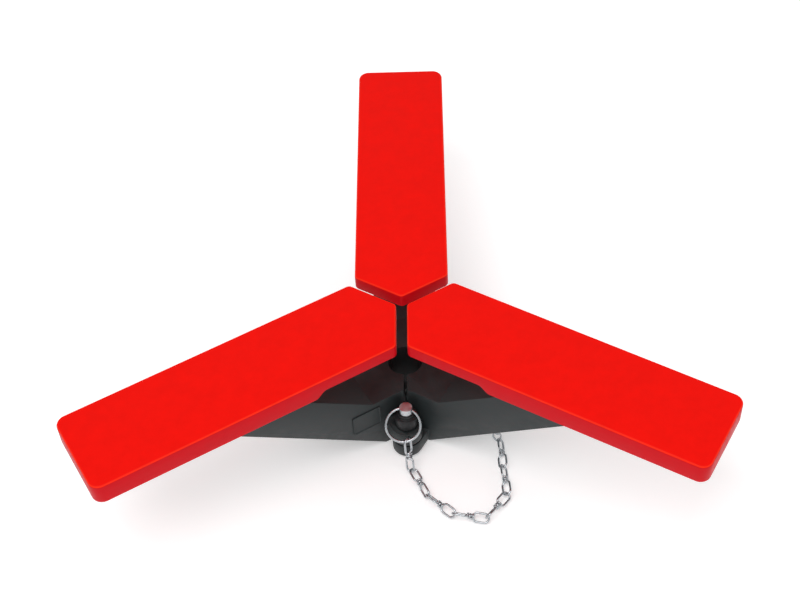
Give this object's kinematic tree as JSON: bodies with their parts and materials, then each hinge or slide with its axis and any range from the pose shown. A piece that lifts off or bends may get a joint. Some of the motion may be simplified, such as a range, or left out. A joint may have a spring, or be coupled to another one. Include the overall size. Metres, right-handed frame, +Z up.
{
  "type": "folding three arm support head",
  "caption": "Folding support head: hinged cast arms at 120 degrees carry flat red pads round an open bore, locked by a ring pin on a chain.",
  "frame": {"origin": "centre of the whole object's box at the level it stands on; the bore's axis is 65.7 mm from it towards -Y", "axes": "+Z up along the bore, +Y along the back arm, +X towards the right arm"},
  "size_m": [0.6144, 0.5349, 0.16],
  "materials": {
    "pad": "moulded red polymer, fine satin skin",
    "cast_body": "cast, matt dark grey powder coat",
    "zinc_steel": "bright zinc plate",
    "brass": "turned",
    "nylon": "black moulded nylon"
  },
  "bodies": {
    "rear_arm": {"back_casting": "cast_body", "back_pad": "pad", "back_pad_screw_1": "zinc_steel", "back_pad_insert_1": "brass", "back_pad_screw_2": "zinc_steel", "back_pad_insert_2": "brass", "back_pad_screw_3": "zinc_steel", "back_pad_insert_3": "brass", "back_pad_screw_4": "zinc_steel", "back_pad_insert_4": "brass", "left_hinge_bush": "brass", "left_thrust_washer": "brass", "right_hinge_bolt": "zinc_steel", "right_hinge_washer": "zinc_steel"},
    "left_arm": {"left_casting": "cast_body", "left_pad": "pad", "left_pad_screw_1": "zinc_steel", "left_pad_insert_1": "brass", "left_pad_screw_2": "zinc_steel", "left_pad_insert_2": "brass", "left_pad_screw_3": "zinc_steel", "left_pad_insert_3": "brass", "left_pad_screw_4": "zinc_steel", "left_pad_insert_4": "brass", "left_hinge_bolt": "zinc_steel", "left_hinge_washer": "zinc_steel", "lock_pin_bush": "nylon", "label_plate": "cast_body"},
    "right_arm": {"right_casting": "cast_body", "right_pad": "pad", "right_pad_screw_1": "zinc_steel", "right_pad_insert_1": "brass", "right_pad_screw_2": "zinc_steel", "right_pad_insert_2": "brass", "right_pad_screw_3": "zinc_steel", "right_pad_insert_3": "brass", "right_pad_screw_4": "zinc_steel", "right_pad_insert_4": "brass", "right_hinge_bush": "brass", "right_thrust_washer": "brass", "chain_anchor_eye": "zinc_steel", "chain_link_1": "zinc_steel", "chain_link_2": "zinc_steel", "chain_link_3": "zinc_steel", "chain_link_4": "zinc_steel", "chain_link_5": "zinc_steel", "chain_link_6": "zinc_steel", "chain_link_7": "zinc_steel", "chain_link_8": "zinc_steel"},
    "lock_pin": {"lock_pin": "zinc_steel", "lock_pin_collar": "nylon", "detent_ball": "zinc_steel", "detent_spring": "zinc_steel"},
    "pull_ring": {"pull_ring": "zinc_steel"}
  },
  "joints": [
    {"name": "left_arm_fold", "type": "hinge", "parent": "rear_arm", "child": "left_arm", "pos_m": [-0.04694, -0.03864, 0], "axis": [0, 0, -1], "range_deg": [0, 120]},
    {"name": "right_arm_fold", "type": "hinge", "parent": "rear_arm", "child": "right_arm", "pos_m": [0.04694, -0.03864, 0], "axis": [0, 0, 1], "range_deg": [0, 120]},
    {"name": "lock_pin_lift", "type": "slide", "parent": "right_arm", "child": "lock_pin", "axis": [0, 0, 1], "range_m": [0, 0.058], "deforming": ["chain_link_1", "chain_link_2"]},
    {"name": "pull_ring_swing", "type": "hinge", "parent": "lock_pin", "child": "pull_ring", "pos_m": [0, -0.11994, 0.061], "axis": [-1, 0, 0], "range_deg": [0, 50]}
  ]
}
